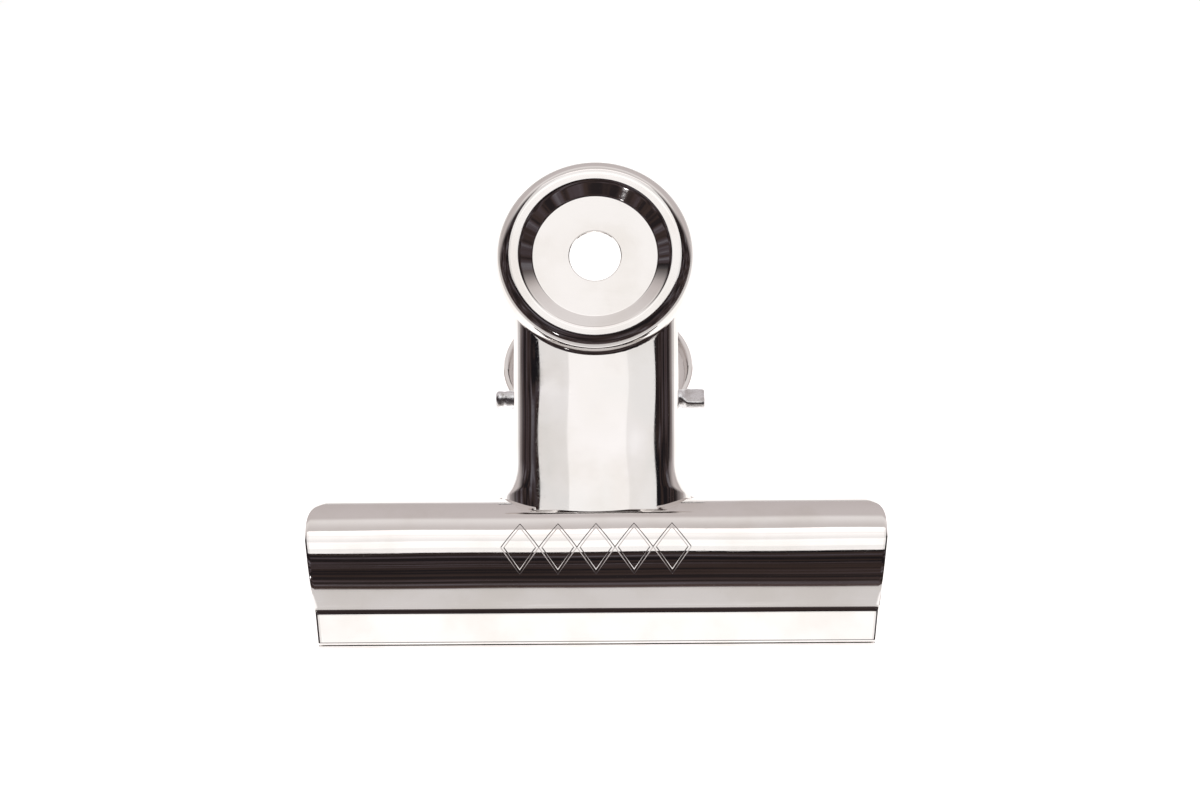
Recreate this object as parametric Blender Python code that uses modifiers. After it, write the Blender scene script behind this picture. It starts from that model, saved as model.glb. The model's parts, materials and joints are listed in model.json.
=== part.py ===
# Bulldog letter clip: two stamped sheet halves, a pivot pin and a torsion spring.
# Clip frame while modelling: pin on X through the origin, +Z to the handles,
# front half at -Y, rear half at +Y. Metres.
import math

import bmesh
import bpy
import numpy as np
from mathutils import Matrix, Vector

MM = 0.001
SHEET = 0.70 * MM

# Jaw: flat lip strip, crease, steep flat, tight lower arc, then the wide upper arc.
JAW_HALF_WIDTH = 37.5 * MM
LIP_HALF_WIDTH = 35.75 * MM
LIP_BOTTOM_Z = -36.4 * MM
LIP_OUTER = 0.85 * MM
CREASE_OUT = 1.25 * MM
CREASE_Z = -32.15 * MM
STEEP_LENGTH = 2.73 * MM
STEEP_ANGLE = math.radians(-56.0)
LOWER_ARC_RADIUS = 7.0 * MM
ARC_START = math.radians(-14.0)
ARC_RADIUS = 9.67 * MM
ARC_CENTRE_OUT = -2.97 * MM
ARC_CENTRE_Z = -24.16 * MM
ARC_END = math.radians(49.6)
LIP_ROWS = 2
LOWER_ARC_ROWS = 5
UPPER_ARC_ROWS = 12
JAW_CORNER_WIDTH = 5.7 * MM
JAW_CORNER_RISE = 7.7 * MM
JAW_CORNER_POWER = 1.45

# Neck: channel with two side flanges and ear lobes round the pin.
FRONT_NECK_HALF = 10.85 * MM
REAR_NECK_HALF = 9.85 * MM
NECK_BEND_RADIUS = 3.6 * MM
NECK_TOP_Z = 9.2 * MM
RIM_FOOT_Z = 0.9 * MM
RIM_FOOT_OUT = 10.825 * MM
NECK_SLOPE_TOP = 0.2867
NECK_CURVE = 2.26
NECK_CROWN = 12.0
FLANGE_EDGE_OUT = 1.5 * MM
FLANGE_TOP_DEPTH = 4.7 * MM
EAR_HALF_LENGTH = 4.3 * MM
EAR_DROP = 5.1 * MM
FOOT_OUT = 5.45 * MM
FOOT_EDGE_OUT = 2.7 * MM
FOOT_SAG = 0.3 * MM
FLARE_START_Z = -12.3 * MM
FLARE_DROP = 3.9 * MM
FLARE_OUT = 2.7 * MM
FLARE_STEPS = (0.27, 0.5, 0.7, 0.86, 1.0)

# Thumb disc: raised crest round a sunk flat centre with a hanging hole.
DISC_CENTRE_Z = 13.5 * MM
DISC_CENTRE_OUT = 13.4 * MM
DISC_TILT = math.radians(16.0)
DISC_RADIUS = 13.1 * MM
CREST_HEIGHT = 3.3 * MM
CREST_INNER = 10.5 * MM
ROLL_RADIUS = 2.1 * MM
SKIRT_HEIGHT = 0.3 * MM
FLAT_RADIUS = 8.1 * MM
FLAT_HEIGHT = 2.2 * MM
CONE_INNER = 8.4 * MM
CONE_OUTER = 9.7 * MM
HANG_HOLE_RADIUS = 3.4 * MM

# Pin and spring.
PIN_RADIUS = 1.25 * MM
PIN_HOLE_RADIUS = 1.35 * MM
PIN_LEFT_X = -13.4 * MM
PADDLE_START_X = 11.7 * MM
PADDLE_END_X = 14.4 * MM
PADDLE_ANGLE = math.radians(-24.0)
WIRE_RADIUS = 1.0 * MM
COIL_RADIUS = 4.5 * MM
COIL_HALF_LENGTH = 6.9 * MM
COIL_TURNS = 6
LEG_ANGLE = math.radians(30.8)
LEG_LENGTH = 15.2 * MM

# Rest: the clip lies on its back on the rear disc rim and the rear jaw.
LIE_ANGLE = math.radians(-75.13)


def clear_scene():
    for obj in list(bpy.data.objects):
        bpy.data.objects.remove(obj, do_unlink=True)


def material(name, colour, metallic, roughness):
    mat = bpy.data.materials.new(name)
    mat.use_nodes = True
    bsdf = mat.node_tree.nodes["Principled BSDF"]
    bsdf.inputs["Base Color"].default_value = (*colour, 1.0)
    bsdf.inputs["Metallic"].default_value = metallic
    bsdf.inputs["Roughness"].default_value = roughness
    return mat


def link(name, mesh):
    obj = bpy.data.objects.new(name, mesh)
    bpy.context.scene.collection.objects.link(obj)
    return obj


def baked(obj):
    """Apply an object's modifiers and drop them."""
    graph = bpy.context.evaluated_depsgraph_get()
    mesh = bpy.data.meshes.new_from_object(obj.evaluated_get(graph))
    obj.modifiers.clear()
    obj.data = mesh
    return obj


def surface(name, columns, rows, point):
    """Grid primitive laid over point(u, v), thickened inward by the sheet thickness."""
    bm = bmesh.new()
    bmesh.ops.create_grid(bm, x_segments=columns, y_segments=rows, size=1.0)
    for vert in bm.verts:
        vert.co = point(vert.co.x, 0.5 * (vert.co.y + 1.0))
    bm.normal_update()
    outward = sum(face.normal.y * face.calc_area() for face in bm.faces)
    if outward > 0.0:
        bmesh.ops.reverse_faces(bm, faces=bm.faces)
    mesh = bpy.data.meshes.new(name)
    bm.to_mesh(mesh)
    bm.free()
    obj = link(name, mesh)
    solid = obj.modifiers.new("sheet", "SOLIDIFY")
    solid.thickness = SHEET
    solid.offset = -1.0
    solid.use_quality_normals = True
    return baked(obj)


def combine(target, other, operation):
    mod = target.modifiers.new(operation, "BOOLEAN")
    mod.operation = operation
    mod.solver = "EXACT"
    mod.object = other
    baked(target)
    bpy.data.objects.remove(other, do_unlink=True)


def jaw_rows():
    """(outward, z, distance along the sheet) of the jaw's outer face, lip to top edge."""
    rows = []
    lip = math.hypot(CREASE_OUT - LIP_OUTER, CREASE_Z - LIP_BOTTOM_Z)
    for step in range(LIP_ROWS + 1):
        part = step / LIP_ROWS
        rows.append((LIP_OUTER + (CREASE_OUT - LIP_OUTER) * part,
                     LIP_BOTTOM_Z + (CREASE_Z - LIP_BOTTOM_Z) * part, lip * part))
    out = CREASE_OUT - STEEP_LENGTH * math.sin(STEEP_ANGLE)
    z = CREASE_Z + STEEP_LENGTH * math.cos(STEEP_ANGLE)
    gone = lip + STEEP_LENGTH
    rows.append((out, z, gone))
    for step in range(1, LOWER_ARC_ROWS + 1):
        beta = STEEP_ANGLE + (ARC_START - STEEP_ANGLE) * step / LOWER_ARC_ROWS
        rows.append((out + LOWER_ARC_RADIUS * (math.cos(beta) - math.cos(STEEP_ANGLE)),
                     z + LOWER_ARC_RADIUS * (math.sin(beta) - math.sin(STEEP_ANGLE)),
                     gone + LOWER_ARC_RADIUS * (beta - STEEP_ANGLE)))
    gone += LOWER_ARC_RADIUS * (ARC_START - STEEP_ANGLE)
    for step in range(1, UPPER_ARC_ROWS + 1):
        beta = ARC_START + (ARC_END - ARC_START) * step / UPPER_ARC_ROWS
        rows.append((ARC_CENTRE_OUT + ARC_RADIUS * math.cos(beta),
                     ARC_CENTRE_Z + ARC_RADIUS * math.sin(beta),
                     gone + ARC_RADIUS * (beta - ARC_START)))
    return rows


def jaw_half_width(along, length):
    taper = min(1.0, along / (0.62 * length))
    width = LIP_HALF_WIDTH + (JAW_HALF_WIDTH - LIP_HALF_WIDTH) * taper
    rise = (along - length) / JAW_CORNER_RISE + 1.0
    if rise > 0.0:
        round_off = rise ** JAW_CORNER_POWER
        width -= JAW_CORNER_WIDTH * (1.0 - math.sqrt(max(0.0, 1.0 - round_off ** 2)))
    return width


def jaw_point_on():
    rows = jaw_rows()
    last = len(rows) - 1

    def point(u, v):
        out, z, along = rows[int(round(v * last))]
        return Vector((u * jaw_half_width(along, rows[-1][2]), -out, z))

    return point, last


def neck_out(z):
    """Outward height of the neck's flat back at z."""
    above = z - RIM_FOOT_Z
    bow = NECK_CURVE * above ** 2 if above < 0.0 else 0.0
    return RIM_FOOT_OUT + NECK_SLOPE_TOP * above + bow


def flange_edge(z):
    """Outward height of the flange's free edge: ear lobe at the pin, run-out at the rim."""
    if abs(z) < EAR_HALF_LENGTH:
        return FLANGE_EDGE_OUT - EAR_DROP * math.sqrt(1.0 - (z / EAR_HALF_LENGTH) ** 2)
    if z > EAR_HALF_LENGTH:
        part = (z - EAR_HALF_LENGTH) / (NECK_TOP_Z - EAR_HALF_LENGTH)
        return FLANGE_EDGE_OUT + (neck_out(z) - FLANGE_TOP_DEPTH - FLANGE_EDGE_OUT) * part
    return FLANGE_EDGE_OUT


def neck_stations():
    """z levels of the sections from the top to the flare, closer together at the ear."""
    ear = [EAR_HALF_LENGTH * math.sin(math.radians(a)) for a in range(90, -91, -15)]
    return [NECK_TOP_Z, 6.8 * MM] + ear + [-7.0 * MM, -10.0 * MM, FLARE_START_Z]


def neck_point_on(half_width):
    stations = neck_stations()
    last = len(stations) + len(FLARE_STEPS) - 1

    def point(u, v):
        side = 1.0 if u >= 0.0 else -1.0
        reach = abs(u)
        index = int(round((1.0 - v) * last))
        across = max(0.0, (reach - 0.4) / 0.6)
        if index < len(stations):
            z = stations[index]
        else:
            foot_out = FOOT_OUT + (FOOT_EDGE_OUT - FOOT_OUT) * across
            foot_out -= FOOT_SAG * min(1.0, reach / 0.4) ** 2
            buried = ARC_RADIUS - 0.5 * SHEET
            foot_z = ARC_CENTRE_Z + math.sqrt(buried ** 2 - (foot_out - ARC_CENTRE_OUT) ** 2)
            part = FLARE_STEPS[index - len(stations)]
            z = FLARE_START_Z + (foot_z - FLARE_START_Z) * part
        top = neck_out(z)
        edge = flange_edge(z)
        drop = min(1.0, max(0.0, (FLARE_START_Z - z) / FLARE_DROP))
        flare = FLARE_OUT * drop ** 2.2
        shoulder = NECK_CROWN * (half_width - NECK_BEND_RADIUS) ** 2
        if reach <= 0.4:
            x = reach / 0.4 * (half_width - NECK_BEND_RADIUS)
            out = top - NECK_CROWN * x ** 2
        elif reach <= 0.8:
            turn = (reach - 0.4) / 0.4 * 0.5 * math.pi
            x = half_width - NECK_BEND_RADIUS * (1.0 - math.sin(turn))
            out = top - shoulder - NECK_BEND_RADIUS * (1.0 - math.cos(turn))
        else:
            x = half_width
            out = top - shoulder - NECK_BEND_RADIUS
            out += (edge - out) * (reach - 0.8) / 0.2
        x += flare * across ** 1.5
        return Vector((side * x, -out, z))

    return point, last


def disc_frame():
    """Disc frame in the front half: local Z out of the thumb face."""
    axis = Vector((0.0, -math.cos(DISC_TILT), -math.sin(DISC_TILT)))
    up = Vector((0.0, -math.sin(DISC_TILT), math.cos(DISC_TILT)))
    side = up.cross(axis)
    frame = Matrix((side, up, axis)).transposed().to_4x4()
    frame.translation = Vector((0.0, -DISC_CENTRE_OUT, DISC_CENTRE_Z))
    return frame


def disc_outline():
    """Closed (radius, height) outline of the pressed disc's wall."""
    outer = [(HANG_HOLE_RADIUS, FLAT_HEIGHT), (FLAT_RADIUS, FLAT_HEIGHT)]
    cone_rise = CREST_HEIGHT - FLAT_HEIGHT
    outer.append((CONE_INNER, FLAT_HEIGHT + 0.08 * cone_rise))
    outer.append((CONE_OUTER, FLAT_HEIGHT + 0.79 * cone_rise))
    outer.append((0.5 * (CONE_OUTER + CREST_INNER), FLAT_HEIGHT + 0.95 * cone_rise))
    outer.append((CREST_INNER, CREST_HEIGHT))
    for step in range(7):
        turn = step / 6.0 * 0.5 * math.pi
        radius = DISC_RADIUS - ROLL_RADIUS + ROLL_RADIUS * math.sin(turn)
        outer.append((radius, CREST_HEIGHT - ROLL_RADIUS * (1.0 - math.cos(turn))))
    outer.append((DISC_RADIUS, SKIRT_HEIGHT))
    inner = []
    for index, (radius, height) in enumerate(outer):
        before = outer[max(0, index - 1)]
        after = outer[min(len(outer) - 1, index + 1)]
        run = Vector((after[0] - before[0], after[1] - before[1])).normalized()
        inner.append((radius + SHEET * run.y, height - SHEET * run.x))
    inner[0] = (HANG_HOLE_RADIUS, FLAT_HEIGHT - SHEET)
    inner[-1] = (DISC_RADIUS - SHEET, SKIRT_HEIGHT)
    return outer + inner[::-1]


def disc_solid(name):
    bm = bmesh.new()
    ring = [bm.verts.new((radius, 0.0, height)) for radius, height in disc_outline()]
    for first, second in zip(ring, ring[1:] + ring[:1]):
        bm.edges.new((first, second))
    mesh = bpy.data.meshes.new(name)
    bm.to_mesh(mesh)
    bm.free()
    obj = link(name, mesh)
    turn = obj.modifiers.new("turn", "SCREW")
    turn.axis = "Z"
    turn.angle = math.tau
    turn.steps = 48
    turn.render_steps = 48
    turn.use_merge_vertices = True
    turn.merge_threshold = 0.00001
    baked(obj)
    outward_normals(obj.data)
    obj.data.transform(disc_frame())
    return obj


def outward_normals(mesh):
    bm = bmesh.new()
    bm.from_mesh(mesh)
    bmesh.ops.recalc_face_normals(bm, faces=bm.faces)
    bm.to_mesh(mesh)
    bm.free()


def block(name, low, high):
    bm = bmesh.new()
    bmesh.ops.create_cube(bm, size=1.0)
    size = Vector(high) - Vector(low)
    centre = (Vector(high) + Vector(low)) * 0.5
    bmesh.ops.scale(bm, vec=size, verts=bm.verts)
    bmesh.ops.translate(bm, vec=centre, verts=bm.verts)
    mesh = bpy.data.meshes.new(name)
    bm.to_mesh(mesh)
    bm.free()
    return link(name, mesh)


def rod(name, radius, length, frame, segments):
    bm = bmesh.new()
    bmesh.ops.create_cone(bm, cap_ends=True, segments=segments, radius1=radius,
                          radius2=radius, depth=length)
    bmesh.ops.transform(bm, matrix=frame, verts=bm.verts)
    mesh = bpy.data.meshes.new(name)
    bm.to_mesh(mesh)
    bm.free()
    return link(name, mesh)


def half_shell(name, half_width, mirrored):
    """One stamped half, built as the front one and mirrored for the rear."""
    jaw_at, jaw_last = jaw_point_on()
    jaw = surface(name, 20, jaw_last, jaw_at)
    inside = half_width - 2.73 * MM
    gap = block("neck_gap", (-inside, -12.0 * MM, -19.6 * MM), (inside, 2.0 * MM, -12.0 * MM))
    combine(jaw, gap, "DIFFERENCE")
    point, rows = neck_point_on(half_width)
    neck = surface("neck", 20, rows, point)
    frame = disc_frame()
    plug = rod("disc_plug", DISC_RADIUS - 0.4 * MM, 12.0 * MM, frame, 48)
    combine(neck, plug, "DIFFERENCE")
    combine(jaw, neck, "UNION")
    combine(jaw, disc_solid("disc"), "UNION")
    along_x = Matrix.Rotation(0.5 * math.pi, 4, "Y")
    combine(jaw, rod("pin_hole", PIN_HOLE_RADIUS, 40.0 * MM, along_x, 24), "DIFFERENCE")
    if mirrored:
        jaw.data.transform(Matrix.Scale(-1.0, 4, Vector((0.0, 1.0, 0.0))))
        jaw.data.flip_normals()
    return jaw


def pivot_pin():
    """Round pin, nipped at its left end and hammered flat at its right end."""
    left = PIN_LEFT_X
    stations = [
        (left, 0.85, 0.85), (left + 0.3 * MM, 1.0, 1.0), (left + 0.8 * MM, 1.0, 1.0),
        (left + 1.1 * MM, 0.82, 0.92), (left + 1.5 * MM, 1.0, 1.0),
        (PADDLE_START_X - 0.4 * MM, 1.0, 1.0), (PADDLE_START_X + 0.4 * MM, 1.28, 0.62),
        (PADDLE_END_X - 0.25 * MM, 1.34, 0.56), (PADDLE_END_X, 1.22, 0.44),
    ]
    bm = bmesh.new()
    made = bmesh.ops.create_circle(bm, cap_ends=False, segments=24, radius=PIN_RADIUS)
    ring = made["verts"]
    base = [Vector((vert.co.x, vert.co.y)) for vert in ring]
    squareness = 0.55
    for index, (x, wide, thick) in enumerate(stations):
        if index > 0:
            edges = [e for e in bm.edges if e.verts[0] in ring and e.verts[1] in ring]
            grown = bmesh.ops.extrude_edge_only(bm, edges=edges)["geom"]
            fresh = [item for item in grown if isinstance(item, bmesh.types.BMVert)]
            ring = [min(fresh, key=lambda v, o=old: (v.co - o.co).length) for old in ring]
        for vert, flat in zip(ring, base):
            a = flat.x / PIN_RADIUS
            b = flat.y / PIN_RADIUS
            if x > PADDLE_START_X:
                a = math.copysign(abs(a) ** squareness, a)
                b = math.copysign(abs(b) ** squareness, b)
            a *= wide * PIN_RADIUS
            b *= thick * PIN_RADIUS
            turn = PADDLE_ANGLE
            y = -a * math.sin(turn) - b * math.cos(turn)
            z = a * math.cos(turn) - b * math.sin(turn)
            vert.co = Vector((x, y, z))
    open_edges = [edge for edge in bm.edges if edge.is_boundary]
    bmesh.ops.holes_fill(bm, edges=open_edges, sides=0)
    bmesh.ops.recalc_face_normals(bm, faces=bm.faces)
    mesh = bpy.data.meshes.new("pivot_pin")
    bm.to_mesh(mesh)
    bm.free()
    return link("pivot_pin", mesh)


def spring_path():
    """Rear leg, coil along the pin, front leg."""
    leave = LEG_ANGLE + 0.5 * math.pi
    start = -leave
    total = math.tau * COIL_TURNS + 2.0 * leave
    steps = 15 * COIL_TURNS + 9
    rear_foot = Vector((0.0, math.sin(LEG_ANGLE), math.cos(LEG_ANGLE))) * LEG_LENGTH
    front_foot = Vector((0.0, -math.sin(LEG_ANGLE), math.cos(LEG_ANGLE))) * LEG_LENGTH
    points = []
    for step in range(steps + 1):
        part = step / steps
        turn = start + total * part
        x = -COIL_HALF_LENGTH + 2.0 * COIL_HALF_LENGTH * part
        points.append(Vector((x, -COIL_RADIUS * math.sin(turn), COIL_RADIUS * math.cos(turn))))
    return [points[0] + rear_foot] + points + [points[-1] + front_foot]


def torsion_spring():
    path = spring_path()
    curve = bpy.data.curves.new("torsion_spring", "CURVE")
    curve.dimensions = "3D"
    curve.bevel_depth = WIRE_RADIUS
    curve.bevel_resolution = 2
    curve.use_fill_caps = True
    spline = curve.splines.new("POLY")
    spline.points.add(len(path) - 1)
    for item, co in zip(spline.points, path):
        item.co = (*co, 1.0)
    source = link("spring_curve", curve)
    graph = bpy.context.evaluated_depsgraph_get()
    mesh = bpy.data.meshes.new_from_object(source.evaluated_get(graph))
    bpy.data.objects.remove(source, do_unlink=True)
    bm = bmesh.new()
    bm.from_mesh(mesh)
    bmesh.ops.remove_doubles(bm, verts=bm.verts, dist=0.00001)
    bmesh.ops.recalc_face_normals(bm, faces=bm.faces)
    bm.to_mesh(mesh)
    bm.free()
    return link("torsion_spring", mesh)


def smooth_round(obj, angle):
    bm = bmesh.new()
    bm.from_mesh(obj.data)
    for face in bm.faces:
        face.smooth = True
    for edge in bm.edges:
        edge.smooth = len(edge.link_faces) == 2 and edge.calc_face_angle(0.0) < angle
    bm.to_mesh(obj.data)
    bm.free()


def main():
    clear_scene()
    front = half_shell("front_jaw", FRONT_NECK_HALF, False)
    rear = half_shell("rear_jaw", REAR_NECK_HALF, True)
    pin = pivot_pin()
    spring = torsion_spring()
    looks = {
        front: material("nickel_front", (0.80, 0.79, 0.78), 1.0, 0.12),
        rear: material("nickel_rear", (0.78, 0.77, 0.76), 1.0, 0.14),
        pin: material("zinc_pin", (0.66, 0.67, 0.69), 1.0, 0.35),
        spring: material("spring_wire", (0.42, 0.42, 0.43), 1.0, 0.40),
    }
    lie = Matrix.Rotation(LIE_ANGLE, 4, "X")
    corners = np.array([lie @ vert.co for obj in looks for vert in obj.data.vertices])
    low = corners.min(axis=0)
    high = corners.max(axis=0)
    place = Vector((0.0, -0.5 * (low[1] + high[1]), -low[2]))
    for obj, mat in looks.items():
        obj.data.materials.clear()
        obj.data.materials.append(mat)
        smooth_round(obj, math.radians(35.0))
        obj.rotation_euler = (LIE_ANGLE, 0.0, 0.0)
        obj.location = place
    print("pin axis", [round(value, 6) for value in place])
    print("extent", [round(float(value), 6) for value in high - low])


main()
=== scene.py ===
# Bulldog letter clip lying on its back: fine meshes over the imported frame, plated-steel
#  materials, soft overhead light and a pale floor that glows with a painted pool of light round
#  the clip.
import json
import math

import bmesh
import bpy
import numpy as np
from mathutils import Matrix, Vector


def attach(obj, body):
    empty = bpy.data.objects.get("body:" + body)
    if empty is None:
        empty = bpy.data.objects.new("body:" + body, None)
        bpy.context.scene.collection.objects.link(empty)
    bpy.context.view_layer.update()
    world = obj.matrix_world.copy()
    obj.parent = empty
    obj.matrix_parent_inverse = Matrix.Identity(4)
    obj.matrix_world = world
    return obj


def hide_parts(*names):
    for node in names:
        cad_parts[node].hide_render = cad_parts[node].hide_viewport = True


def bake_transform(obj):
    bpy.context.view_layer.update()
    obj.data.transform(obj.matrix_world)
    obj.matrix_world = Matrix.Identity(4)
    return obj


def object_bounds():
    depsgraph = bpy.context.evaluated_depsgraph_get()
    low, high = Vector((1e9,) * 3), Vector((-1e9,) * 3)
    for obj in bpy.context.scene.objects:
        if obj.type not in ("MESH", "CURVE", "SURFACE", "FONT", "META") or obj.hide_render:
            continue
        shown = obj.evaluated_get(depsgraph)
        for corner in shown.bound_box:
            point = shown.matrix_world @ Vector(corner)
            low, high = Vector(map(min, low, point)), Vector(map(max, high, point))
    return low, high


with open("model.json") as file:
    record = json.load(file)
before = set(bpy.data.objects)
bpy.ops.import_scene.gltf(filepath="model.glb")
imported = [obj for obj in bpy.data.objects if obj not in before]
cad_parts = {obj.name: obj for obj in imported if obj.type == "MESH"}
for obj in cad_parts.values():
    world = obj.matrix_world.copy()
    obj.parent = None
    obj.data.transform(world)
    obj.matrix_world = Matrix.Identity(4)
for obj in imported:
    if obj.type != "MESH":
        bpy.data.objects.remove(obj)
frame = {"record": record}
cad_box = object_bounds()

MM = 0.001
SHEET = 0.70
LIE_ANGLE = math.radians(-75.13)
JOINT = frame["record"]["behaviour"]["joints"][0]
PIN = Vector(JOINT["pos_m"])
TO_ROW = Matrix.Translation(PIN) @ Matrix.Rotation(LIE_ANGLE, 4, "X")

# All sizes below are millimetres in the clip's own frame: pin on X through the
# origin, +Z to the thumb discs, front half at -Y.
LIP_OUT = 0.85
LIP_Z = -36.4
LIP_HALF = 35.75
JAW_HALF = 37.5
CORNER_WIDTH = 5.7
CORNER_RISE = 7.7
CORNER_POWER = 1.45
CREASE_OUT = 1.25
CREASE_Z = -32.15
STEEP = 2.73
STEEP_ANGLE = math.radians(-56.0)
LOWER_R = 7.0
ARC_RADIUS = 9.67
ARC_OUT = -2.97
ARC_Z = -24.16
ARC_FROM = math.radians(-14.0)
ARC_TO = math.radians(49.6)
NECK_TOP = 9.2
RIM_FOOT_Z = 0.9
RIM_FOOT_OUT = 10.825
NECK_SLOPE = 0.2867
NECK_CURVE = 0.00226
NECK_CROWN = 0.012
BEND = 3.6
EDGE_OUT = 1.5
EAR_HALF = 4.3
EAR_DROP = 5.1
FLANGE_TOP = 4.7
FOOT_OUT = 5.45
FOOT_EDGE_OUT = 2.7
FOOT_SAG = 0.3
FLARE_Z = -12.3
FLARE_DROP = 3.9
FLARE_OUT = 2.7
DISC_Z = 13.5
DISC_OUT = 13.4
DISC_TILT = math.radians(16.0)
DISC_R = 13.1
CREST_H = 3.3
CREST_INNER = 10.5
ROLL_R = 2.1
SKIRT = 0.3
FLAT_R = 8.1
FLAT_H = 2.2
CONE_INNER = 8.4
CONE_OUTER = 9.7
HOLE_R = 3.4
PIN_R = 1.25
PIN_PLAY = 0.1
PADDLE_ANGLE = math.radians(-24.0)
FRONT_NECK_HALF = 10.85
REAR_NECK_HALF = 9.85
NECK_GAP_INSET = 3.0
NECK_GAP_Z = -19.6
NECK_TRIM = 0.35
EDGE_ROUND = 0.13

# Profile sampling: spacing, extra samples at each end, and the window that
# rounds the crease.
PROFILE_STEP = 0.02
PROFILE_PAD = 60
CREASE_WINDOW = 79


def smoothstep(value):
    value = min(1.0, max(0.0, value))
    return value * value * (3.0 - 2.0 * value)


# ---------------------------------------------------------------- mesh helpers

def grid_mesh(name, points, wrap=False):
    """Quads over a rows x columns table of points; wrap closes the columns."""
    rows = len(points)
    columns = len(points[0])
    verts = [co for row in points for co in row]
    last = columns if wrap else columns - 1
    faces = []
    for r in range(rows - 1):
        for c in range(last):
            n = (c + 1) % columns
            faces.append((r * columns + c, r * columns + n,
                          (r + 1) * columns + n, (r + 1) * columns + c))
    mesh = bpy.data.meshes.new(name)
    mesh.from_pydata(verts, [], faces)
    mesh.update()
    obj = bpy.data.objects.new(name, mesh)
    bpy.context.scene.collection.objects.link(obj)
    return obj


def bake(obj):
    graph = bpy.context.evaluated_depsgraph_get()
    mesh = bpy.data.meshes.new_from_object(obj.evaluated_get(graph))
    obj.modifiers.clear()
    obj.data = mesh
    return obj


def face_outward(obj):
    """Open sheets of the front half face -Y."""
    total = sum(poly.normal.y * poly.area for poly in obj.data.polygons)
    if total > 0.0:
        obj.data.flip_normals()


def thicken(obj):
    solid = obj.modifiers.new("sheet", "SOLIDIFY")
    solid.thickness = SHEET
    solid.offset = -1.0
    solid.use_quality_normals = True
    round_edge = obj.modifiers.new("edge", "BEVEL")
    round_edge.limit_method = "ANGLE"
    round_edge.angle_limit = math.radians(55.0)
    round_edge.width = EDGE_ROUND
    round_edge.segments = 2
    return bake(obj)


def weld(obj):
    """Join doubled points and turn all faces outward."""
    bm = bmesh.new()
    bm.from_mesh(obj.data)
    bmesh.ops.remove_doubles(bm, verts=bm.verts, dist=0.0001)
    bmesh.ops.recalc_face_normals(bm, faces=bm.faces)
    bm.to_mesh(obj.data)
    bm.free()


def merge(name, parts):
    bm = bmesh.new()
    for part in parts:
        bm.from_mesh(part.data)
    mesh = bpy.data.meshes.new(name)
    bm.to_mesh(mesh)
    bm.free()
    for part in parts:
        bpy.data.objects.remove(part, do_unlink=True)
    obj = bpy.data.objects.new(name, mesh)
    bpy.context.scene.collection.objects.link(obj)
    return obj


def settle(obj, mirrored=False):
    """Millimetres in the clip frame to metres in the row frame, smooth-shaded."""
    if mirrored:
        obj.data.transform(Matrix.Scale(-1.0, 4, Vector((0.0, 1.0, 0.0))))
        obj.data.flip_normals()
    obj.data.transform(TO_ROW @ Matrix.Scale(MM, 4))
    bm = bmesh.new()
    bm.from_mesh(obj.data)
    for face in bm.faces:
        face.smooth = True
    for edge in bm.edges:
        edge.smooth = len(edge.link_faces) == 2 and edge.calc_face_angle(0.0) < 0.6
    bm.to_mesh(obj.data)
    bm.free()
    return obj


# ---------------------------------------------------------------- stamped half

def jaw_curve():
    """Dense outer profile (out, z) from lip edge to top edge, crease rounded."""
    lip = math.hypot(CREASE_OUT - LIP_OUT, CREASE_Z - LIP_Z)
    foot = (CREASE_OUT - STEEP * math.sin(STEEP_ANGLE), CREASE_Z + STEEP * math.cos(STEEP_ANGLE))
    lower = LOWER_R * (ARC_FROM - STEEP_ANGLE)
    upper = ARC_RADIUS * (ARC_TO - ARC_FROM)
    length = lip + STEEP + lower + upper
    line = []
    for index in range(-PROFILE_PAD, int(length / PROFILE_STEP) + PROFILE_PAD + 1):
        s = index * PROFILE_STEP
        if s < lip:
            part = s / lip
            line.append((LIP_OUT + (CREASE_OUT - LIP_OUT) * part,
                         LIP_Z + (CREASE_Z - LIP_Z) * part))
        elif s < lip + STEEP:
            part = (s - lip) / STEEP
            line.append((CREASE_OUT + (foot[0] - CREASE_OUT) * part,
                         CREASE_Z + (foot[1] - CREASE_Z) * part))
        elif s < lip + STEEP + lower:
            beta = STEEP_ANGLE + (s - lip - STEEP) / LOWER_R
            line.append((foot[0] + LOWER_R * (math.cos(beta) - math.cos(STEEP_ANGLE)),
                         foot[1] + LOWER_R * (math.sin(beta) - math.sin(STEEP_ANGLE))))
        else:
            beta = ARC_FROM + (s - lip - STEEP - lower) / ARC_RADIUS
            line.append((ARC_OUT + ARC_RADIUS * math.cos(beta),
                         ARC_Z + ARC_RADIUS * math.sin(beta)))
    line = np.array(line)
    kernel = np.hanning(CREASE_WINDOW)
    kernel /= kernel.sum()
    smooth = np.stack([np.convolve(line[:, k], kernel, mode="same") for k in (0, 1)], axis=1)
    return smooth[PROFILE_PAD:-PROFILE_PAD], length


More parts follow.
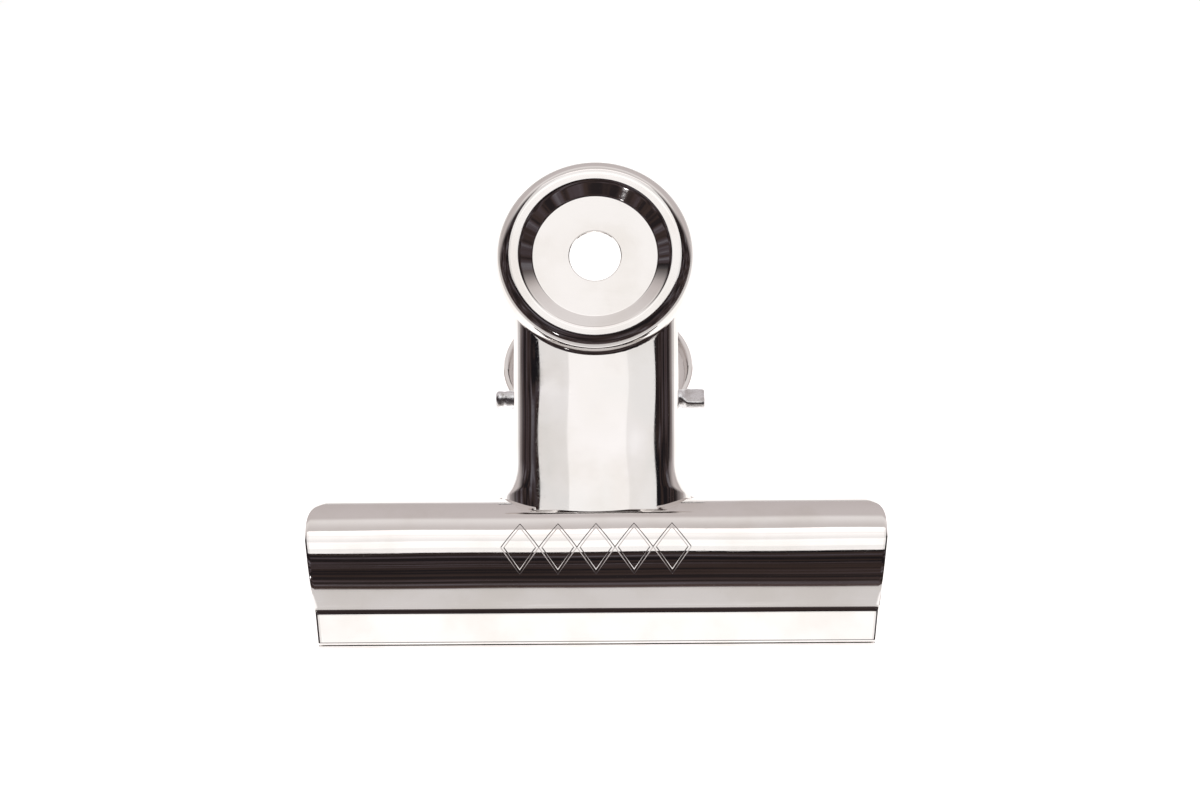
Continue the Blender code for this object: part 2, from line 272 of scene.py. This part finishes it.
def jaw_sheet(neck_half):
    line, length = jaw_curve()
    rows = 150
    columns = 150
    table = []
    for r in range(rows + 1):
        v = r / rows
        s = v * length
        out, z = line[min(len(line) - 1, int(round(v * (len(line) - 1))))]
        half = LIP_HALF + (JAW_HALF - LIP_HALF) * min(1.0, s / (0.62 * length))
        rise = (s - length) / CORNER_RISE + 1.0
        if rise > 0.0:
            half -= CORNER_WIDTH * (1.0 - math.sqrt(max(0.0, 1.0 - rise ** (2.0 * CORNER_POWER))))
        row = []
        for c in range(columns + 1):
            x = (2.0 * c / columns - 1.0) * half
            sag = 0.03 * math.sin(x * 0.09 + 0.7) + 0.018 * math.sin(x * 0.23 + 0.31 * z)
            row.append((x, -(out + sag * smoothstep(s / 6.0)), z))
        table.append(row)
    jaw = grid_mesh("jaw", table)
    bm = bmesh.new()
    bm.from_mesh(jaw.data)
    inside = neck_half - NECK_GAP_INSET
    gone = [f for f in bm.faces
            if abs(f.calc_center_median().x) < inside and f.calc_center_median().z > NECK_GAP_Z]
    bmesh.ops.delete(bm, geom=gone, context="FACES")
    bm.to_mesh(jaw.data)
    bm.free()
    face_outward(jaw)
    return thicken(jaw)


def neck_out(z):
    above = z - RIM_FOOT_Z
    bow = NECK_CURVE * above ** 2 if above < 0.0 else 0.0
    return RIM_FOOT_OUT + NECK_SLOPE * above + bow


def flange_edge(z):
    if abs(z) < EAR_HALF:
        return EDGE_OUT - EAR_DROP * math.sqrt(1.0 - (z / EAR_HALF) ** 2)
    if z > EAR_HALF:
        part = (z - EAR_HALF) / (NECK_TOP - EAR_HALF)
        return EDGE_OUT + (neck_out(z) - FLANGE_TOP - EDGE_OUT) * part
    return EDGE_OUT


def neck_point(reach, side, part, half):
    """reach 0 at the middle to 1 at the free edge; part 0 at the top to 1 at the foot."""
    across = max(0.0, (reach - 0.4) / 0.6)
    foot_out = FOOT_OUT + (FOOT_EDGE_OUT - FOOT_OUT) * across
    foot_out -= FOOT_SAG * min(1.0, reach / 0.4) ** 2
    buried = ARC_RADIUS - 0.85 * SHEET
    foot_z = ARC_Z + math.sqrt(buried ** 2 - (foot_out - ARC_OUT) ** 2)
    bend_part = 0.68
    if part < bend_part:
        z = NECK_TOP + (FLARE_Z - NECK_TOP) * part / bend_part
    else:
        z = FLARE_Z + (foot_z - FLARE_Z) * (part - bend_part) / (1.0 - bend_part)
    top = neck_out(z)
    edge = flange_edge(z)
    drop = min(1.0, max(0.0, (FLARE_Z - z) / FLARE_DROP))
    flare = FLARE_OUT * drop ** 2.2
    lean = 2.0 * NECK_CROWN * (half - BEND) / (1.0 - 2.0 * NECK_CROWN * BEND)
    knee = half - BEND * (1.0 - math.sin(lean))
    shoulder = NECK_CROWN * knee ** 2
    if reach <= 0.4:
        x = reach / 0.4 * knee
        out = top - NECK_CROWN * x ** 2
    elif reach <= 0.8:
        turn = lean + (reach - 0.4) / 0.4 * (0.5 * math.pi - lean)
        x = half - BEND * (1.0 - math.sin(turn))
        out = top - shoulder - BEND * (math.cos(lean) - math.cos(turn))
    else:
        x = half
        out = top - shoulder - BEND * math.cos(lean)
        out += (edge - out) * (reach - 0.8) / 0.2
    x += flare * across ** 1.5
    ripple = smoothstep((reach - 0.15) / 0.3) * (1.0 - smoothstep((reach - 0.7) / 0.1))
    out += 0.035 * ripple * math.sin(0.42 * z + 1.1 + 1.7 * side)
    return (side * x, -out, z)


def neck_sheet(half):
    rows = 104
    columns = 76
    table = []
    for r in range(rows + 1):
        row = []
        for c in range(columns + 1):
            u = 2.0 * c / columns - 1.0
            side = -1.0 if u < 0.0 else 1.0
            row.append(neck_point(abs(u), side, r / rows, half))
        table.append(row)
    neck = grid_mesh("neck", table)
    inverse = disc_frame().inverted()
    bm = bmesh.new()
    bm.from_mesh(neck.data)
    gone = []
    for face in bm.faces:
        local = inverse @ face.calc_center_median()
        if math.hypot(local.x, local.y) < DISC_R - NECK_TRIM:
            gone.append(face)
    bmesh.ops.delete(bm, geom=gone, context="FACES")
    bm.to_mesh(neck.data)
    bm.free()
    face_outward(neck)
    thicken(neck)
    bm = bmesh.new()
    bmesh.ops.create_cone(bm, cap_ends=True, segments=64, radius1=PIN_R + PIN_PLAY,
                          radius2=PIN_R + PIN_PLAY, depth=40.0)
    bmesh.ops.transform(bm, matrix=Matrix.Rotation(0.5 * math.pi, 4, "Y"), verts=bm.verts)
    mesh = bpy.data.meshes.new("ear_hole")
    bm.to_mesh(mesh)
    bm.free()
    cutter = bpy.data.objects.new("ear_hole", mesh)
    bpy.context.scene.collection.objects.link(cutter)
    cut = neck.modifiers.new("ear_hole", "BOOLEAN")
    cut.operation = "DIFFERENCE"
    cut.solver = "EXACT"
    cut.object = cutter
    bake(neck)
    bpy.data.objects.remove(cutter, do_unlink=True)
    return neck


def disc_frame():
    axis = Vector((0.0, -math.cos(DISC_TILT), -math.sin(DISC_TILT)))
    up = Vector((0.0, -math.sin(DISC_TILT), math.cos(DISC_TILT)))
    side = up.cross(axis)
    place = Matrix((side, up, axis)).transposed().to_4x4()
    place.translation = Vector((0.0, -DISC_OUT, DISC_Z))
    return place


def disc_outline():
    """Closed (radius, height) outline, edges of the sheet rounded."""
    outer = [(HOLE_R + 0.1, FLAT_H), (HOLE_R + 0.4, FLAT_H)]
    for step in range(1, 9):
        outer.append((HOLE_R + 0.4 + (FLAT_R - HOLE_R - 0.4) * step / 8.0, FLAT_H))
    steepest = math.radians(31.0)
    count = 40
    rise = [0.0]
    for step in range(count):
        radius = FLAT_R + (CREST_INNER - FLAT_R) * (step + 0.5) / count
        slope = steepest * smoothstep((radius - FLAT_R) / (CONE_INNER - FLAT_R))
        slope *= 1.0 - smoothstep((radius - CONE_OUTER) / (CREST_INNER - CONE_OUTER))
        rise.append(rise[-1] + math.tan(slope) * (CREST_INNER - FLAT_R) / count)
    for step in range(1, count + 1):
        outer.append((FLAT_R + (CREST_INNER - FLAT_R) * step / count,
                      FLAT_H + (CREST_H - FLAT_H) * rise[step] / rise[-1]))
    for step in range(41):
        turn = step / 40.0 * 0.5 * math.pi
        outer.append((DISC_R - ROLL_R + ROLL_R * math.sin(turn),
                      CREST_H - ROLL_R * (1.0 - math.cos(turn))))
    outer.append((DISC_R, 0.8))
    outer.append((DISC_R, SKIRT + 0.12))
    inner = []
    for index, (radius, height) in enumerate(outer):
        before = outer[max(0, index - 1)]
        after = outer[min(len(outer) - 1, index + 1)]
        run = Vector((after[0] - before[0], after[1] - before[1])).normalized()
        inner.append((radius + SHEET * run.y, height - SHEET * run.x))
    inner[0] = (HOLE_R + 0.1, FLAT_H - SHEET)
    inner[-1] = (DISC_R - SHEET, SKIRT + 0.12)
    edge = [(DISC_R - 0.12, SKIRT), (DISC_R - SHEET + 0.12, SKIRT)]
    hole = [(HOLE_R, FLAT_H - SHEET + 0.1), (HOLE_R, FLAT_H - 0.1)]
    return outer + edge + inner[::-1] + hole


def disc_sheet():
    outline = disc_outline()
    segments = 180
    table = []
    for radius, height in outline + outline[:1]:
        row = []
        for step in range(segments):
            turn = step / segments * math.tau
            row.append((radius * math.cos(turn), radius * math.sin(turn), height))
        table.append(row)
    disc = grid_mesh("disc", table, wrap=True)
    weld(disc)
    disc.data.transform(disc_frame())
    return disc


def stamped_half(name, half, mirrored):
    whole = merge(name, [jaw_sheet(half), neck_sheet(half), disc_sheet()])
    return settle(whole, mirrored)


# ---------------------------------------------------------------- pin and spring

def pin_piece():
    """Headless pin: nipped left end, hammered flat right end."""
    stations = [
        (-13.4, 0.0, 0.0), (-13.4, 0.82, 0.82), (-13.25, 0.95, 0.95), (-13.05, 1.0, 1.0),
        (-12.75, 1.0, 1.0), (-12.5, 0.96, 0.98), (-12.3, 0.89, 0.95), (-12.1, 0.96, 0.98),
        (-11.85, 1.0, 1.0), (-6.0, 1.0, 1.0), (0.0, 1.0, 1.0), (6.0, 1.0, 1.0),
        (11.2, 1.0, 1.0), (11.5, 1.06, 0.9), (11.75, 1.2, 0.7), (12.0, 1.3, 0.61),
        (12.6, 1.34, 0.58), (13.4, 1.36, 0.57), (14.1, 1.33, 0.55), (14.32, 1.28, 0.5),
        (14.4, 1.18, 0.42), (14.4, 0.0, 0.0),
    ]
    segments = 48
    table = []
    for x, wide, thick in stations:
        flat = smoothstep((x - 11.2) / 0.9)
        power = 1.0 - 0.52 * flat
        row = []
        for step in range(segments):
            turn = step / segments * math.tau
            a = math.cos(turn)
            b = math.sin(turn)
            a = math.copysign(abs(a) ** power, a) * wide * PIN_R
            b = math.copysign(abs(b) ** power, b) * thick * PIN_R
            row.append((x, -a * math.sin(PADDLE_ANGLE) - b * math.cos(PADDLE_ANGLE),
                        a * math.cos(PADDLE_ANGLE) - b * math.sin(PADDLE_ANGLE)))
        table.append(row)
    pin = grid_mesh("pin_fine", table, wrap=True)
    weld(pin)
    return settle(pin)


def spring_piece():
    """Rear leg, six turns and a bit round the pin, front leg."""
    lean = math.radians(30.8)
    radius = 4.5
    half = 6.9
    wire = 1.0
    leg = 15.2
    leave = lean + 0.5 * math.pi
    total = math.tau * 6 + 2.0 * leave
    steps = 260
    path = []
    rear = Vector((0.0, math.sin(lean), math.cos(lean)))
    front = Vector((0.0, -math.sin(lean), math.cos(lean)))
    coil = []
    for step in range(steps + 1):
        part = step / steps
        turn = -leave + total * part
        coil.append(Vector((-half + 2.0 * half * part,
                            -radius * math.sin(turn), radius * math.cos(turn))))
    for step in range(12):
        path.append(coil[0] + rear * (leg * (1.0 - step / 12.0)))
    path += coil
    for step in range(1, 13):
        path.append(coil[-1] + front * (leg * step / 12.0))
    segments = 20
    table = []
    side = Vector((1.0, 0.0, 0.0))
    for index, here in enumerate(path):
        ahead = path[min(len(path) - 1, index + 1)]
        behind = path[max(0, index - 1)]
        run = (ahead - behind).normalized()
        side = (side - run * side.dot(run)).normalized()
        third = run.cross(side)
        ring = []
        for step in range(segments):
            turn = step / segments * math.tau
            ring.append(here + (side * math.cos(turn) + third * math.sin(turn)) * wire)
        if index in (0, len(path) - 1):
            middle = sum(ring, Vector()) / segments
            rim = [middle + (co - middle) * 0.86 for co in ring]
            back = -run if index == 0 else run
            ring = [co - back * 0.14 for co in ring]
            cap = [[tuple(middle)] * segments, [tuple(co) for co in rim]]
            body = [[tuple(co) for co in ring]]
            table += cap + body if index == 0 else body + cap[::-1]
        else:
            table.append([tuple(co) for co in ring])
    spring = grid_mesh("spring_fine", table, wrap=True)
    weld(spring)
    return settle(spring)


# ---------------------------------------------------------------- materials

class Nodes:
    """Short way to lay down a material's nodes."""

    def __init__(self, material):
        material.use_nodes = True
        self.tree = material.node_tree
        self.bsdf = self.tree.nodes["Principled BSDF"]

    def add(self, kind, **settings):
        node = self.tree.nodes.new(kind)
        for key, value in settings.items():
            setattr(node, key, value)
        return node

    def link(self, source, target):
        self.tree.links.new(source, target)

    def math(self, operation, first, second=None, clamp=False):
        node = self.add("ShaderNodeMath", operation=operation, use_clamp=clamp)
        for slot, value in enumerate((first, second)):
            if value is None:
                continue
            if isinstance(value, (int, float)):
                node.inputs[slot].default_value = value
            else:
                self.link(value, node.inputs[slot])
        return node.outputs[0]

    def ramp(self, source, low, high, out_low, out_high):
        node = self.add("ShaderNodeMapRange", interpolation_type="SMOOTHSTEP")
        self.link(source, node.inputs["Value"])
        node.inputs["From Min"].default_value = low
        node.inputs["From Max"].default_value = high
        node.inputs["To Min"].default_value = out_low
        node.inputs["To Max"].default_value = out_high
        return node.outputs[0]

    def noise(self, vector, scale, detail=3.0, roughness=0.5):
        node = self.add("ShaderNodeTexNoise")
        self.link(vector, node.inputs["Vector"])
        node.inputs["Scale"].default_value = scale
        node.inputs["Detail"].default_value = detail
        node.inputs["Roughness"].default_value = roughness
        return node.outputs["Fac"]

    def stretch(self, vector, scale, turn=(0.0, 0.0, 0.0)):
        node = self.add("ShaderNodeMapping")
        self.link(vector, node.inputs["Vector"])
        node.inputs["Scale"].default_value = scale
        node.inputs["Rotation"].default_value = turn
        return node.outputs["Vector"]


def clip_coordinates(n):
    """Object coordinates turned back to the clip's frame, in millimetres."""
    coord = n.add("ShaderNodeTexCoord")
    shift = n.add("ShaderNodeVectorMath", operation="SUBTRACT")
    n.link(coord.outputs["Object"], shift.inputs[0])
    shift.inputs[1].default_value = PIN
    return n.stretch(shift.outputs[0], (1.0 / MM,) * 3, (-LIE_ANGLE, 0.0, 0.0))


def plated(name, tint, rough, stamp):
    mat = bpy.data.materials.new(name)
    n = Nodes(mat)
    at = clip_coordinates(n)
    cloud = n.noise(at, 0.11, 4.0)
    fine = n.noise(n.stretch(at, (0.25, 2.2, 2.2)), 1.4, 4.0, 0.6)
    specks = n.noise(at, 5.0, 2.0)
    scratch = n.noise(n.stretch(at, (0.06, 5.0, 5.0), (0.0, 0.06, 0.0)), 2.1, 2.0)
    colour = n.add("ShaderNodeMix", data_type="RGBA")
    colour.inputs["A"].default_value = (*tint, 1.0)
    colour.inputs["B"].default_value = (tint[0] * 0.93, tint[1] * 0.92, tint[2] * 0.90, 1.0)
    n.link(n.ramp(cloud, 0.42, 0.7, 0.0, 1.0), colour.inputs["Factor"])
    n.link(colour.outputs["Result"], n.bsdf.inputs["Base Color"])
    n.bsdf.inputs["Metallic"].default_value = 1.0
    wear = n.math("ADD", n.ramp(fine, 0.35, 0.75, 0.0, rough),
                  n.ramp(specks, 0.68, 0.76, 0.0, 0.12))
    base = n.math("ADD", wear, rough)
    n.link(n.math("ADD", base, n.ramp(cloud, 0.45, 0.75, 0.0, rough * 0.8)),
           n.bsdf.inputs["Roughness"])
    pits = n.ramp(specks, 0.72, 0.80, 0.0, -0.5)
    lines = n.ramp(scratch, 0.66, 0.72, 0.0, -0.25)
    height = n.math("ADD", n.math("ADD", pits, lines), n.math("MULTIPLY", fine, 0.35))
    bump = n.add("ShaderNodeBump")
    bump.inputs["Strength"].default_value = 0.12
    bump.inputs["Distance"].default_value = 0.012 * MM
    n.link(height, bump.inputs["Height"])
    normal = bump.outputs["Normal"]
    if stamp:
        mark = n.add("ShaderNodeBump")
        mark.inputs["Strength"].default_value = 0.9
        mark.inputs["Distance"].default_value = 0.09 * MM
        n.link(stamped_lozenges(n, at), mark.inputs["Height"])
        n.link(normal, mark.inputs["Normal"])
        normal = mark.outputs["Normal"]
    n.link(normal, n.bsdf.inputs["Normal"])
    return mat


def stamped_lozenges(n, at):
    """Height of a plain row of five outlined lozenges pressed into the jaw's crown."""
    split = n.add("ShaderNodeSeparateXYZ")
    n.link(at, split.inputs[0])
    x = split.outputs[0]
    out = n.math("MULTIPLY", split.outputs[1], -1.0)
    rise = n.math("SUBTRACT", split.outputs[2], ARC_Z)
    reach = n.math("SUBTRACT", out, ARC_OUT)
    beta = n.math("ARCTAN2", rise, reach)
    along = n.math("MULTIPLY", n.math("ADD", beta, 0.16), ARC_RADIUS)
    cell = 4.9
    local = n.math("PINGPONG", x, 0.5 * cell)
    shape = n.math("ADD", n.math("DIVIDE", local, 2.25),
                   n.math("DIVIDE", n.math("ABSOLUTE", along), 3.2))
    off = n.math("ABSOLUTE", n.math("SUBTRACT", shape, 1.0))
    groove = n.ramp(off, 0.06, 0.13, -1.0, 0.0)
    in_row = n.math("LESS_THAN", n.math("ABSOLUTE", x), 2.5 * cell)
    front = n.math("GREATER_THAN", out, 2.0)
    return n.math("MULTIPLY", groove, n.math("MULTIPLY", in_row, front))


def drawn_metal(name, tint, rough, spread):
    mat = bpy.data.materials.new(name)
    n = Nodes(mat)
    at = clip_coordinates(n)
    cloud = n.noise(at, 0.7, 4.0)
    grain = n.noise(n.stretch(at, (0.5, 3.0, 3.0)), 3.0, 4.0, 0.65)
    colour = n.add("ShaderNodeMix", data_type="RGBA")
    colour.inputs["A"].default_value = (*tint, 1.0)
    colour.inputs["B"].default_value = (tint[0] * 0.72, tint[1] * 0.70, tint[2] * 0.68, 1.0)
    n.link(n.ramp(cloud, 0.4, 0.72, 0.0, 1.0), colour.inputs["Factor"])
    n.link(colour.outputs["Result"], n.bsdf.inputs["Base Color"])
    n.bsdf.inputs["Metallic"].default_value = 1.0
    n.link(n.ramp(grain, 0.3, 0.75, rough, rough + spread), n.bsdf.inputs["Roughness"])
    bump = n.add("ShaderNodeBump")
    bump.inputs["Strength"].default_value = 0.35
    bump.inputs["Distance"].default_value = 0.02 * MM
    n.link(grain, bump.inputs["Height"])
    n.link(bump.outputs["Normal"], n.bsdf.inputs["Normal"])
    return mat


# ---------------------------------------------------------------- the pieces

front = stamped_half("front_half_fine", FRONT_NECK_HALF, False)
rear = stamped_half("rear_half_fine", REAR_NECK_HALF, True)
pin = pin_piece()
spring = spring_piece()

for piece, node, body, slot, look in (
        (front, "front_jaw", "front_half", "nickel_front",
         plated("nickel_front_fine", (0.86, 0.84, 0.825), 0.035, True)),
        (rear, "rear_jaw", "rear_half", "nickel_rear",
         plated("nickel_rear_fine", (0.84, 0.82, 0.805), 0.045, False)),
        (pin, "pivot_pin", "rear_half", "zinc_pin",
         drawn_metal("zinc_pin_fine", (0.84, 0.85, 0.87), 0.2, 0.14))):
    piece.data.materials.clear()
    piece.data.materials.append(look)
    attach(piece, body)
    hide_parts(node)

spring.data.materials.clear()
spring.data.materials.append(drawn_metal("spring_wire_fine", (0.46, 0.45, 0.44), 0.28, 0.2))
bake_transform(spring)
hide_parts("torsion_spring")


# ---------------------------------------------------------------- stage, light, camera

def pale_floor_painted_glow():
    """Large pale surface that glows with painted emission, a painted pool of light brightest
    round the clip and falling off to the room.
    """
    bm = bmesh.new()
    bmesh.ops.create_grid(bm, x_segments=8, y_segments=8, size=3.0)
    mesh = bpy.data.meshes.new("floor")
    bm.to_mesh(mesh)
    bm.free()
    floor = bpy.data.objects.new("floor", mesh)
    floor.location = (0.0, 0.0, cad_box[0][2] - 0.00005)
    bpy.context.scene.collection.objects.link(floor)
    mat = bpy.data.materials.new("pale_floor_painted_glow")
    n = Nodes(mat)
    coord = n.add("ShaderNodeTexCoord")
    split = n.add("ShaderNodeSeparateXYZ")
    n.link(coord.outputs["Object"], split.inputs[0])
    beside = n.math("DIVIDE", split.outputs[0], 0.105)
    along = n.math("DIVIDE", n.math("SUBTRACT", split.outputs[1], 0.028), 0.092)
    spread = n.math("POWER", n.math("ADD", n.math("POWER", n.math("ABSOLUTE", beside), 5.0),
                                    n.math("POWER", n.math("ABSOLUTE", along), 5.0)), 0.2)
    n.bsdf.inputs["Base Color"].default_value = (0.80, 0.79, 0.78, 1.0)
    n.bsdf.inputs["Roughness"].default_value = 0.9
    n.bsdf.inputs["Specular IOR Level"].default_value = 0.0
    n.bsdf.inputs["Emission Color"].default_value = (1.0, 0.985, 0.98, 1.0)
    # Painted light: the floor's emission is strongest round the clip and falls off outward, so
    # the floor glows and lights the clip from below though it is no lamp.
    painted_light_pool = n.ramp(spread, 0.94, 1.03, 0.95, 0.42)
    n.link(painted_light_pool, n.bsdf.inputs["Emission Strength"])
    mesh.materials.append(mat)


def room():
    """Dim room in front and beside, light warm-grey backdrop behind."""
    world = bpy.data.worlds.new("room")
    bpy.context.scene.world = world
    world.use_nodes = True
    tree = world.node_tree
    background = tree.nodes["Background"]

    def add(kind, **settings):
        node = tree.nodes.new(kind)
        for key, value in settings.items():
            setattr(node, key, value)
        return node

    def stops(node, values):
        ramp = node.color_ramp
        ramp.interpolation = "EASE"
        ramp.elements[0].position = values[0][0]
        ramp.elements[0].color = (*values[0][1], 1.0)
        ramp.elements[1].position = values[-1][0]
        ramp.elements[1].color = (*values[-1][1], 1.0)
        for place, colour in values[1:-1]:
            ramp.elements.new(place).color = (*colour, 1.0)

    coord = add("ShaderNodeTexCoord")
    split = add("ShaderNodeSeparateXYZ")
    tree.links.new(coord.outputs["Generated"], split.inputs[0])
    stretch = add("ShaderNodeMapping")
    tree.links.new(coord.outputs["Generated"], stretch.inputs["Vector"])
    stretch.inputs["Scale"].default_value = (1.5, 9.0, 9.0)
    clutter = add("ShaderNodeTexNoise")
    tree.links.new(stretch.outputs["Vector"], clutter.inputs["Vector"])
    clutter.inputs["Scale"].default_value = 1.3
    clutter.inputs["Detail"].default_value = 4.0
    clutter_tone = add("ShaderNodeValToRGB")
    tree.links.new(clutter.outputs["Fac"], clutter_tone.inputs["Fac"])
    stops(clutter_tone, [(0.42, (0.0, 0.0, 0.0)), (0.50, (0.034, 0.020, 0.014)),
                         (0.58, (0.060, 0.046, 0.052)), (0.68, (0.16, 0.15, 0.165))])
    front = add("ShaderNodeValToRGB")
    tree.links.new(split.outputs[2], front.inputs["Fac"])
    stops(front, [(0.0, (0.44, 0.42, 0.42)), (0.012, (0.30, 0.28, 0.28)),
                  (0.03, (0.045, 0.030, 0.026)), (0.18, (0.022, 0.017, 0.018)),
                  (0.95, (0.010, 0.009, 0.011))])
    dim = add("ShaderNodeMix", data_type="RGBA", blend_type="ADD")
    dim.inputs["Factor"].default_value = 0.8
    tree.links.new(front.outputs["Color"], dim.inputs["A"])
    tree.links.new(clutter_tone.outputs["Color"], dim.inputs["B"])
    back = add("ShaderNodeValToRGB")
    tree.links.new(split.outputs[2], back.inputs["Fac"])
    stops(back, [(0.0, (0.58, 0.525, 0.52)), (0.61, (0.62, 0.565, 0.56)),
                 (0.71, (0.86, 0.82, 0.81)), (0.90, (0.66, 0.61, 0.60))])
    back_mix = add("ShaderNodeMapRange", interpolation_type="SMOOTHSTEP")
    tree.links.new(split.outputs[1], back_mix.inputs["Value"])
    back_mix.inputs["From Min"].default_value = 0.12
    back_mix.inputs["From Max"].default_value = 0.42
    mix = add("ShaderNodeMix", data_type="RGBA")
    tree.links.new(back_mix.outputs[0], mix.inputs["Factor"])
    tree.links.new(dim.outputs["Result"], mix.inputs["A"])
    tree.links.new(back.outputs["Color"], mix.inputs["B"])
    tree.links.new(mix.outputs["Result"], background.inputs["Color"])
    background.inputs["Strength"].default_value = 1.0


def soft_panel(name, low, high, height, radiance, colour):
    light = bpy.data.lights.new(name, "AREA")
    light.shape = "RECTANGLE"
    light.size = high[0] - low[0]
    light.size_y = high[1] - low[1]
    light.energy = radiance * math.pi * light.size * light.size_y
    light.color = colour
    obj = bpy.data.objects.new(name, light)
    obj.location = (0.5 * (low[0] + high[0]), 0.5 * (low[1] + high[1]), height)
    bpy.context.scene.collection.objects.link(obj)


def lamp(azimuth, elevation):
    """Small round lamp in the dim room, a glint on the curved metal."""
    side = math.radians(azimuth)
    rise = math.radians(elevation)
    light = bpy.data.lights.new("room_lamp", "AREA")
    light.shape = "DISK"
    light.size = 0.035
    light.energy = 4.0 * math.pi * math.pi * (0.5 * light.size) ** 2
    obj = bpy.data.objects.new("room_lamp", light)
    away = Vector((math.sin(side) * math.cos(rise), -math.cos(side) * math.cos(rise),
                   math.sin(rise)))
    obj.location = PIN + away * 0.6
    obj.rotation_euler = away.to_track_quat("Z", "Y").to_euler()
    bpy.context.scene.collection.objects.link(obj)


def camera():
    data = bpy.data.cameras.new("camera")
    data.sensor_width = 36.0
    data.lens = 112.4
    data.clip_start = 0.01
    obj = bpy.data.objects.new("camera", data)
    bpy.context.scene.collection.objects.link(obj)
    lie = Matrix.Rotation(LIE_ANGLE, 3, "X")
    lean = math.radians(30.0)
    away = Vector((0.0, -math.cos(lean), -math.sin(lean)))
    away = lie @ (Matrix.Rotation(math.radians(0.8), 3, "Z") @ away)
    distance = 0.500
    spot = PIN + away * distance
    up = lie @ Vector((0.0, 0.0, 1.0))
    right = (-away).cross(up).normalized()
    lift = right.cross(-away).normalized()
    aim = PIN + right * 0.00044 - lift * 0.00067
    look = (aim - spot).normalized()
    right = look.cross(lift).normalized()
    frame_axes = Matrix((right, right.cross(look), -look)).transposed()
    obj.location = spot
    obj.rotation_euler = frame_axes.to_euler()
    bpy.context.scene.camera = obj


pale_floor_painted_glow()
room()
WARM = (1.0, 0.985, 0.975)
PANEL_HEIGHT = 0.40
PANEL_INNER = 0.075
PANEL_OUTER = 0.155
for place, low, high, radiance in (
        ("front", -0.127, -0.060, 1.06), ("middle", -0.060, 0.015, 1.22),
        ("rear", 0.015, 0.080, 0.98), ("far", 0.080, 0.165, 0.80)):
    for part, left, right, share in (
            ("_panel", -PANEL_INNER, PANEL_INNER, 1.0),
            ("_left", -PANEL_OUTER, -PANEL_INNER, 0.80),
            ("_right", PANEL_INNER, PANEL_OUTER, 0.86)):
        soft_panel(place + part, (left, low), (right, high), PANEL_HEIGHT,
                   share * radiance, WARM)
lamp(-26.0, 21.0)
camera()
bpy.context.scene.view_settings.view_transform = "Standard"
